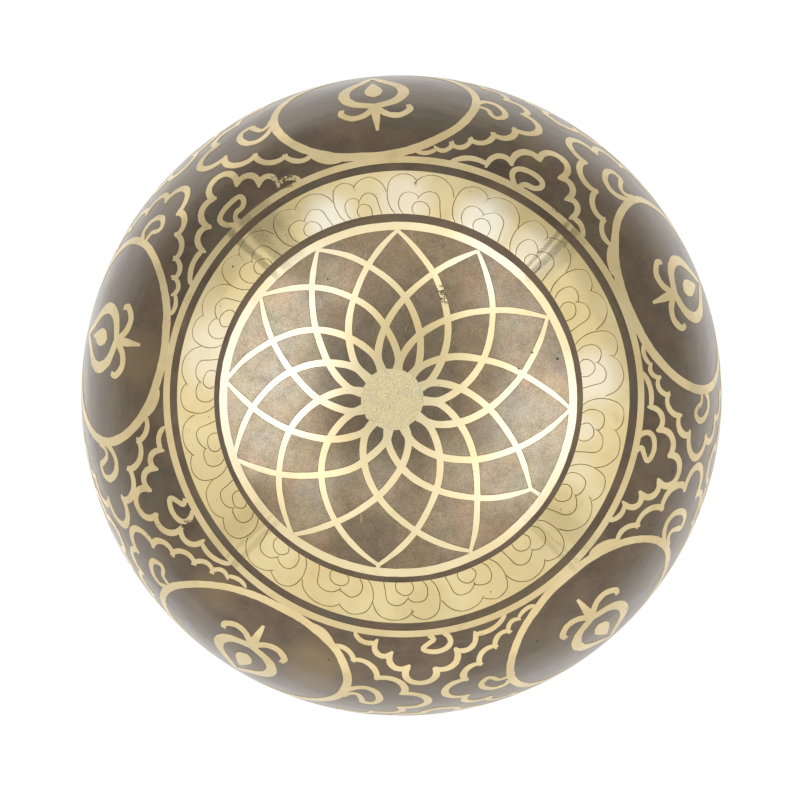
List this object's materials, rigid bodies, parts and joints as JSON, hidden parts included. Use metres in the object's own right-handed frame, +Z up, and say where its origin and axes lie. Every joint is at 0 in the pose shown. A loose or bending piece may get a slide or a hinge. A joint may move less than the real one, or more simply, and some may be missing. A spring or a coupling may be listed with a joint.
{
  "type": "singing bowl",
  "caption": "Etched metal singing bowl with a flat base, a rounded wall and an open mouth, decorated outside with raised bright line work on a blackened ground.",
  "frame": {"origin": "middle of the flat base, on the face it rests on", "axes": "+Z up through the mouth along the bowl's axis; -Y is towards the middle of the side that the picture shows at its top"},
  "size_m": [0.13, 0.13, 0.0505],
  "materials": {
    "blackened_ground": "etched back and blackened, satin; turned satin inside",
    "frosted_brass": "fine frosted",
    "bright_brass": "brushed bright",
    "bright_line_work": "bright, lightly worn"
  },
  "bodies": {
    "root": {"bowl_shell": "blackened_ground", "base_disc": "frosted_brass", "lotus_ring": "bright_brass", "petal_band": "bright_brass", "lip_band": "bright_brass", "lotus_lattice": "bright_line_work", "shoulder_ring": "bright_line_work", "collar_ring": "bright_line_work", "medallion_ring_1": "bright_line_work", "medallion_ring_2": "bright_line_work", "medallion_ring_3": "bright_line_work", "medallion_ring_4": "bright_line_work", "medallion_ring_5": "bright_line_work", "medallion_emblem_1": "bright_line_work", "medallion_emblem_2": "bright_line_work", "medallion_emblem_3": "bright_line_work", "medallion_emblem_4": "bright_line_work", "medallion_emblem_5": "bright_line_work", "cloud_left_1": "bright_line_work", "cloud_left_2": "bright_line_work", "cloud_left_3": "bright_line_work", "cloud_left_4": "bright_line_work", "cloud_left_5": "bright_line_work", "cloud_right_1": "bright_line_work", "cloud_right_2": "bright_line_work", "cloud_right_3": "bright_line_work", "cloud_right_4": "bright_line_work", "cloud_right_5": "bright_line_work", "side_curl_left_1": "bright_line_work", "side_curl_left_2": "bright_line_work", "side_curl_left_3": "bright_line_work", "side_curl_left_4": "bright_line_work", "side_curl_left_5": "bright_line_work", "side_curl_right_1": "bright_line_work", "side_curl_right_2": "bright_line_work", "side_curl_right_3": "bright_line_work", "side_curl_right_4": "bright_line_work", "side_curl_right_5": "bright_line_work", "lower_mound_1": "bright_line_work", "lower_mound_2": "bright_line_work", "lower_mound_3": "bright_line_work", "lower_mound_4": "bright_line_work", "lower_mound_5": "bright_line_work", "lower_curl_1": "bright_line_work", "lower_curl_2": "bright_line_work", "lower_curl_3": "bright_line_work", "lower_curl_4": "bright_line_work", "lower_curl_5": "bright_line_work", "upper_mound_1": "bright_line_work", "upper_mound_2": "bright_line_work", "upper_mound_3": "bright_line_work", "upper_mound_4": "bright_line_work", "upper_mound_5": "bright_line_work", "upper_curl_1": "bright_line_work", "upper_curl_2": "bright_line_work", "upper_curl_3": "bright_line_work", "upper_curl_4": "bright_line_work", "upper_curl_5": "bright_line_work"}
  },
  "joints": []
}
